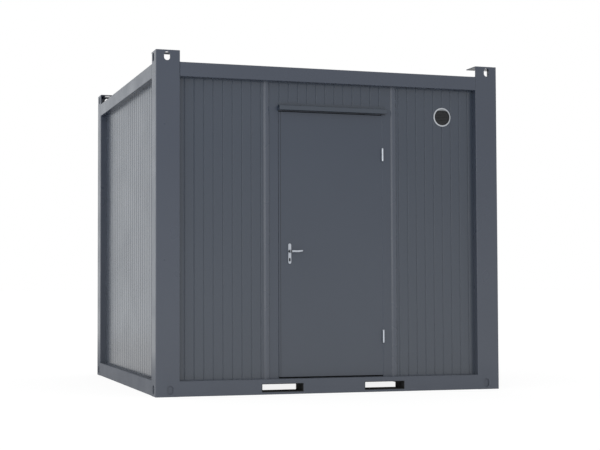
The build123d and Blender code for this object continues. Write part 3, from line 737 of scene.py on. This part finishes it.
# --- door ------------------------------------------------------------------------------------
DOOR_GAP, STOP_GAP, STOP_WIDTH, SILL_PLATE = 5.5 * MM, 5.0 * MM, 20.0 * MM, 3 * MM
OPENING = leaf_high.x + DOOR_GAP
HEAD_LOW = leaf_high.z + DOOR_GAP
STOP_FACE = LEAF_BACK + STOP_GAP
SILL_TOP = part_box("door_sill")[0].z + SILL_PLATE

seal_x, seal_top = OPENING - STOP_WIDTH / 2, HEAD_LOW - STOP_WIDTH / 2
seal_foot = (SILL_TOP + FLOOR_Z) / 2
bulb = about(0, 0, (-6, 0), (6, 0), (5, 2.6), (2, 4.4), (-2, 4.4), (-5, 2.6))
# The seal's black foot across the sill also stands as painted shade in the gap under the door.
piece("door_seal", moulding(
    [(-seal_x, seal_foot), (-seal_x, seal_top), (seal_x, seal_top), (seal_x, seal_foot)],
    bulb, lambda x, z, up: on_front(x, z, STOP_FACE - up), closed=True), "cabin", SEAL_RUBBER)
for name, side, wide in (("hinge_side_gasket", 1, 5.2), ("latch_side_gasket", -1, 3.2)):
    flank = wide - 1.2
    lip = ((0, 0.8), (flank, 0.8), (wide, 2.0), (wide, 5), (flank, 6), (0, 6))
    piece(name, prism(
        about(side * OPENING, FACE, *((-side * a, b) for a, b in lip)),
        in_plan, SILL_TOP, HEAD_LOW), "cabin", GASKET_GREY)

STRIP_SHORT, SWEEP_SHORT = 2 * MM, 3 * MM     # both stop this far short of the leaf's ends
strip = about(leaf_low.x, FACE,
              (0.5, 0), (14.2, 0), (14.2, -0.9), (13.6, -1.4), (1.1, -1.4), (0.5, -0.9))
# A black rubber bead by the strip: real rubber, and a painted shadow line along the edge.
bead = about(leaf_low.x, FACE, (14.2, 0), (17, 0), (16.4, -1), (14.2, -1.2))
piece("closing_edge_strip", prism(
    strip, in_plan, leaf_low.z + STRIP_SHORT, leaf_high.z - STRIP_SHORT),
    "door", DOOR_PAINT)
piece("closing_edge_bead_and_shade_line", prism(
    bead, in_plan, leaf_low.z + STRIP_SHORT, leaf_high.z - STRIP_SHORT), "door", SEAL_RUBBER)
# A black rubber sweep along the leaf's foot, also painted shade for the gap under it.
piece("door_sweep_and_gap_shade", prism(
    about(FACE, leaf_low.z, (12, 0), (24, 0), (22, -3), (14, -3)),
    along_width, leaf_low.x + SWEEP_SHORT, leaf_high.x - SWEEP_SHORT), "door", SEAL_RUBBER)

lever_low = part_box("lever_handles")[0]
LEVER_RADIUS = 8 * MM
spindle = Vector((lever_low.x + LEVER_RADIUS, 0, lever_low.z + LEVER_RADIUS))
cylinder = (cylinder_low + cylinder_high) / 2
plate_faces = ((plates_low.y, -1), (plates_high.y, 1))        # each with its way outwards
# Charcoal collars at the lever's root: real plastic, and painted shade round the spindle.
collar = ((8.6, 0), (11.6, 0), (11.4, 4.2), (10.4, 5.0), (8.6, 5.2))
for name, (face, out) in zip(("outer", "inner"), plate_faces):
    piece(name + "_spindle_collar_and_root_shade", turned(
        about(0, face, *((radius, out * y) for radius, y in collar)), spindle),
        "door", CHARCOAL)
# Near-black plates on both roses round the cylinder: painted shade for the cut-out's gap.
cut_out = rounded((cylinder.x, cylinder.z), 13.6 * MM, 27.6 * MM, 6.4 * MM)
piece("cylinder_cut_out_shade", joined([
    prism(cut_out, on_front, face - out * MM, face + out * 0.4 * MM)
    for face, out in plate_faces]), "door", HOLE_SHADE)
SCREW_IN = 9 * MM                             # from each end of the inner plate
screw_y = plates_high.y + 0.2 * MM
screws = grown(FIXING_ROW, {
    "First": (spindle.x, screw_y, plates_low.z + SCREW_IN),
    "Last": (spindle.x, screw_y, plates_high.z - SCREW_IN), "Count": 2,
    "Turn": (math.radians(-90), 0, 0), "Head Radius": 2.4 * MM, "Head Rise": 1.2 * MM,
    "Finish": SATIN_STEEL,
})
piece("plate_screws", screws, "door")
cap = about(0, lever_low.y, (0.01, -0.6), (6.0, -0.6), (6.6, -0.2), (6.6, 0.5), (0.01, 0.5))
piece("lever_screw_cap", turned(cap, spindle, 24), "lever", SEAL_RUBBER)

LEAF_BEVEL = 2 * MM / (LEAF_BACK - FACE)      # the closing edge leans back by this much


def on_closing_edge(deep, z, out):
    """A place on the leaf's closing edge: how far behind its skin, how high, how far out."""
    return Vector((leaf_low.x + LEAF_BEVEL * deep - out, FACE + deep, z))


def on_jamb(deep, z, out):
    """A place on the jamb that the closing edge meets, given in the same way."""
    return Vector((-OPENING + out, FACE + deep, z))


LOCK_DEEP = 20 * MM                           # the lock's middle, behind the leaf's skin
lock_middle = Vector((LOCK_DEEP, (spindle.z + cylinder.z) / 2))
bolt_middle = Vector((LOCK_DEEP, cylinder.z))
latch_middle = Vector((LOCK_DEEP, spindle.z))
latch = about(0, 0, (13, -2), (27, -2), (27, 0.8), (17, 3.9), (13, 3.9))
piece("lock_faceplate", joined([
    prism(rounded(lock_middle, 22 * MM, 235 * MM, 10.9 * MM), on_closing_edge,
          -2 * MM, 0.6 * MM),
    prism(latch, lambda deep, out, z: on_closing_edge(deep, z, out),
          spindle.z - 16 * MM, spindle.z + 16 * MM),
    prism(rounded(bolt_middle, 12 * MM, 34 * MM, 2 * MM), on_closing_edge,
          -2 * MM, 1.2 * MM),
]), "door", SATIN_STEEL)
piece("strike_plate", prism(
    rounded(lock_middle, 26 * MM, 200 * MM, 4 * MM), on_jamb, -1 * MM, 0.4 * MM),
    "cabin", SATIN_STEEL)
# Near-black patches on the strike plate: painted shade standing for its openings.
piece("strike_opening_shades", joined([
    prism(rounded(middle, 16 * MM, 40 * MM, 2 * MM), on_jamb, -1 * MM, 0.5 * MM)
    for middle in (latch_middle, bolt_middle)]), "cabin", HOLE_SHADE)

RIB_STARTS, RIB_SHORT = range(5, 36, 5), 2 * MM      # millimetres behind the leaf's skin
rib = ((0, -0.5), (2, -0.5), (1.6, 0.7), (0.4, 0.7))
# The tread's black anodising is partly painted shade in the gap under the door.
piece("sill_tread", joined([
    prism(about(FACE, SILL_TOP, *((start + a, b) for a, b in rib)),
          along_width, -OPENING + RIB_SHORT, OPENING - RIB_SHORT)
    for start in RIB_STARTS]), "cabin", SILL_METAL_AND_GAP_SHADE)

# --- canopy, roof and welds ------------------------------------------------------------------
# A dark bedding bead along the canopy's foot: real sealant, and painted shade under it.
piece("canopy_bedding_bead_and_shade", prism(
    about(FACE, canopy_low.z, (0, 1), (-5, 1), (-5, -2), (-3, -5), (0, -6)),
    along_width, canopy_low.x, canopy_high.x), "cabin", SEALANT_AND_SHADE)
RIVET_IN, RIVET_DOWN = 40 * MM, 10 * MM       # from the flange's ends and from its top edge
CANOPY_SHEET = 2 * MM
rivet_y, rivet_z = FACE - CANOPY_SHEET, canopy_high.z - RIVET_DOWN
rivets = grown(FIXING_ROW, {
    "First": (canopy_low.x + RIVET_IN, rivet_y, rivet_z),
    "Last": (canopy_high.x - RIVET_IN, rivet_y, rivet_z), "Count": 7,
    "Turn": (math.radians(90), 0, 0), "Head Radius": 3 * MM, "Head Rise": 1.4 * MM,
    "Finish": TRIM_PAINT,
})
piece("canopy_rivets", rivets, "cabin")

ROOF_FALL, ROOF_SHEET = 18 * MM, 3 * MM
EAVES_IN, GABLE_IN = 25 * MM, 20 * MM         # each row's distance in from the sheet's edge


def roof_height(y):
    """Top of the roof sheet, which falls from the ridge to both eaves."""
    return roof_low.z + ROOF_SHEET + ROOF_FALL * (1 - abs(y) / roof_high.y)


EAVES_END, GABLE_FIRST, GABLE_LAST = 1.25, 0.05, 1.0
rows = []
for side in (-1, 1):
    eaves = side * (roof_high.y - EAVES_IN)
    level = roof_height(eaves)
    rows.append(((-EAVES_END, eaves, level), (EAVES_END, eaves, level), 11))
    for end in (-1, 1):
        gable = end * (roof_high.x - GABLE_IN)
        rows.append(((gable, side * GABLE_FIRST, roof_height(0.0)),
                     (gable, side * GABLE_LAST, roof_height(GABLE_LAST)), 5))
piece("roof_fixings", joined([grown(FIXING_ROW, {
    "First": start, "Last": end, "Count": count, "Turn": (0, 0, 0),
    "Head Radius": 5 * MM, "Head Rise": 5 * MM, "Finish": FRAME_PAINT,
}) for start, end, count in rows]), "cabin")

# Beads run round the foot of each lifting corner's plates, and along both rails' ends.
POST_FACE, POST_SIDE, TOP_RAIL, PLATE = 197 * MM, 145 * MM, 115 * MM, 6 * MM
corners = [(sx, sy) for sx in (-1, 1) for sy in (-1, 1)]
beads = []
for sx, sy in corners:
    x, y, z = cad_high.x, cad_high.y, roof_low.z
    beads += [
        [(sx * (x - POST_FACE + PLATE), sy * (y - PLATE), z),
         (sx * (x - PLATE), sy * (y - PLATE), z),
         (sx * (x - PLATE), sy * (y - POST_SIDE + PLATE), z)],
        [(sx * (x - POST_FACE), sy * (y - PLATE), z),
         (sx * (x - POST_FACE), sy * (y - TOP_RAIL), z)],
        [(sx * (x - PLATE), sy * (y - POST_SIDE), z),
         (sx * (x - TOP_RAIL), sy * (y - POST_SIDE), z)],
    ]
piece("frame_weld_beads", grown(WELD_BEAD, {
    "Radius": 3.5 * MM, "Ripple": 5 * MM, "Finish": FRAME_PAINT,
}, path_mesh(beads)), "cabin")

# Every lifting eye has a welded ring behind its plate, round an upright slot.
EYE_FROM_EDGE = 91 * MM
EYE_WIDTH, EYE_HEIGHT = 50, 70                # millimetres
eye_z = (roof_low.z + cad_high.z - PLATE) / 2
eye = []
for n in range(24):
    angle = math.pi * (n + 0.5) / 12
    shift = (EYE_HEIGHT - EYE_WIDTH) / 2 * (1 if angle < math.pi else -1)
    eye.append((EYE_WIDTH / 2 * math.cos(angle), EYE_WIDTH / 2 * math.sin(angle) + shift))
ring = about(0, 0, (0, 0), (-6, 0), (-6, 6), (0, 6))
rings = []
for sx, sy in corners:
    x, y = sx * (cad_high.x - EYE_FROM_EDGE), sy * (cad_high.y - EYE_FROM_EDGE)
    rings += [
        moulding(about(x, eye_z, *eye), ring,
                 lambda a, b, up: on_front(a, b, sy * (cad_high.y - PLATE - up)), closed=True),
        moulding(about(y, eye_z, *eye), ring,
                 lambda a, b, up: along_width(a, b, sx * (cad_high.x - PLATE - up)), closed=True),
    ]
piece("lifting_eye_rings", joined(rings), "cabin", FRAME_PAINT)

# --- room ------------------------------------------------------------------------------------
SPLAY = Vector((82 * MM, 30 * MM))            # each post's corner, cut off the room's plan
DOORWAY = jamb_high.x + 25 * MM               # where the skirting stops at the architrave
left_half = [
    (-ROOM_X + SPLAY.x, ROOM_Y), (-ROOM_X, ROOM_Y - SPLAY.y),
    (-ROOM_X, -ROOM_Y + SPLAY.y), (-ROOM_X + SPLAY.x, -ROOM_Y),
]
right_half = [(-x, y) for x, y in reversed(left_half)]
COVE = 28 * MM
SKIRTING_TOP, COVE_FOOT = FLOOR_Z + 60 * MM, CEILING_Z - COVE
skirting = about(0, FLOOR_Z, (0, 0), (9, 0), (9, 52), (6, 58), (0, 60))
piece("skirting", moulding([(DOORWAY, -ROOM_Y)] + right_half + left_half + [(-DOORWAY, -ROOM_Y)],
                           skirting, in_plan), "cabin", TRIM_WHITE)
cove = about(0, CEILING_Z, (0, 0), (28, 0), (27, -4), (12, -13), (4, -27), (0, -28))
piece("ceiling_cove", moulding(right_half + left_half, cove, in_plan, closed=True),
      "cabin", TRIM_WHITE)
architrave = about(0, 0, (-22, 0), (22, 0), (21, 5), (18, 6.5), (-18, 6.5), (-21, 5))
piece("door_architrave", moulding(
    [(-jamb_high.x, FLOOR_Z), (-jamb_high.x, jamb_high.z), (jamb_high.x, jamb_high.z),
     (jamb_high.x, FLOOR_Z)],
    architrave, lambda x, z, up: on_front(x, z, LINING + up)), "cabin", TRIM_WHITE)

# Strips cover the joints of the back wall and the ceiling, and the middle of each side wall.
PANEL_JOINT = 0.46                            # from the middle of the room to either side
joint = ((-14, 0), (14, 0), (12, -2), (-12, -2))
joint_strips = []
for x in (-PANEL_JOINT, PANEL_JOINT):
    joint_strips += [
        prism(about(x, ROOM_Y, *joint), in_plan, SKIRTING_TOP, COVE_FOOT),
        prism(about(x, CEILING_Z, *joint), on_front, -ROOM_Y + COVE, ROOM_Y - COVE),
    ]
for side in (-1, 1):
    joint_strips.append(prism(
        about(side * ROOM_X, 0, *((side * b, a) for a, b in joint)),
        in_plan, SKIRTING_TOP, COVE_FOOT))
piece("lining_joint_strips", joined(joint_strips), "cabin", TRIM_WHITE)

# --- stage, light and camera -----------------------------------------------------------------
WHITE = linear("#FFFFFF")
REACH = 150.0                                 # the studio floor runs on out of sight
floor = bpy.data.objects.new("studio_floor", prism(
    [(-REACH, -REACH), (REACH, -REACH), (REACH, REACH), (-REACH, REACH)], in_plan, -0.02, 0.0))
bpy.context.scene.collection.objects.link(floor)
material = bpy.data.materials.new("pale_floor")
material.use_nodes = True
tree = material.node_tree
tree.nodes.clear()
# Seen directly or in a reflection, the floor is a glow and a dim shade that carries the
# cabin's shadow, together white. To the light that it throws back up, it is plain and pale.
FLOOR_GLOW, FLOOR_SHADE, FLOOR_PLAIN = 0.88, "#696969", "#F1F1F1"
ray = add(tree, "ShaderNodeLightPath")
seen = add(tree, "ShaderNodeMath", {
    0: ray.outputs["Is Camera Ray"], 1: ray.outputs["Is Glossy Ray"],
}, operation="MAXIMUM")
seen = add(tree, "ShaderNodeMath", {
    0: seen.outputs[0], 1: ray.outputs["Is Transmission Ray"],
}, operation="MAXIMUM")
plain = add(tree, "ShaderNodeBsdfDiffuse", {"Color": linear(FLOOR_PLAIN)})
shade = add(tree, "ShaderNodeBsdfDiffuse", {"Color": linear(FLOOR_SHADE)})
glow = add(tree, "ShaderNodeEmission", {"Color": WHITE, "Strength": FLOOR_GLOW})
both = add(tree, "ShaderNodeAddShader", {0: glow.outputs[0], 1: shade.outputs[0]})
pick = add(tree, "ShaderNodeMixShader", {
    0: seen.outputs[0], 1: plain.outputs[0], 2: both.outputs[0],
})
add(tree, "ShaderNodeOutputMaterial", {"Surface": pick.outputs[0]})
floor.data.materials.append(material)

world = bpy.data.worlds.new("studio")
bpy.context.scene.world = world
world.use_nodes = True
world.node_tree.nodes.clear()
back = add(world.node_tree, "ShaderNodeBackground", {"Color": WHITE, "Strength": 1.0})
add(world.node_tree, "ShaderNodeOutputWorld", {"Surface": back.outputs[0]})


def softbox(name, place, target, width, height, power, tint="#FFFFFF"):
    """A rectangular diffuser, aimed at a point."""
    lamp = bpy.data.objects.new(name, bpy.data.lights.new(name, "AREA"))
    bpy.context.scene.collection.objects.link(lamp)
    lamp.data.shape = "RECTANGLE"
    lamp.data.size, lamp.data.size_y = width, height
    lamp.data.energy = power
    lamp.data.color = linear(tint)[:3]
    lamp.location = place
    lamp.rotation_euler = (Vector(target) - Vector(place)).to_track_quat("-Z", "Y").to_euler()
    lamp.visible_camera = False


# One broad softbox draws a light edge down the cover strips; one behind lifts the left side.
softbox("softbox_left", (-5.0, -5.4, 2.3), (0.0, -1.2, 1.6), 7.0, 4.0, 110.0)
softbox("softbox_behind", (-4.4, 9.0, 2.2), (-1.5, 0.0, 1.3), 4.0, 5.0, 11.0, "#D1EBFF")

bpy.context.scene.view_settings.view_transform = "Standard"

FOCAL_PX, AXIS_PX, IMAGE_PX = 1160.4, (185.0, 244.0), (600, 450)
CAMERA_PLACE, CAMERA_TILT, CAMERA_TURN = (-3.6324, -10.0443, 0.8746), 2.0384, -15.058
camera = bpy.data.objects.new("camera", bpy.data.cameras.new("camera"))
bpy.context.scene.collection.objects.link(camera)
camera.data.sensor_width = 36.0
camera.data.lens = FOCAL_PX * camera.data.sensor_width / IMAGE_PX[0]
camera.data.shift_x = (IMAGE_PX[0] / 2 - AXIS_PX[0]) / IMAGE_PX[0]
camera.data.shift_y = (AXIS_PX[1] - IMAGE_PX[1] / 2) / IMAGE_PX[0]
camera.location = CAMERA_PLACE
camera.rotation_euler = (math.radians(90 + CAMERA_TILT), 0.0, math.radians(CAMERA_TURN))
bpy.context.scene.camera = camera
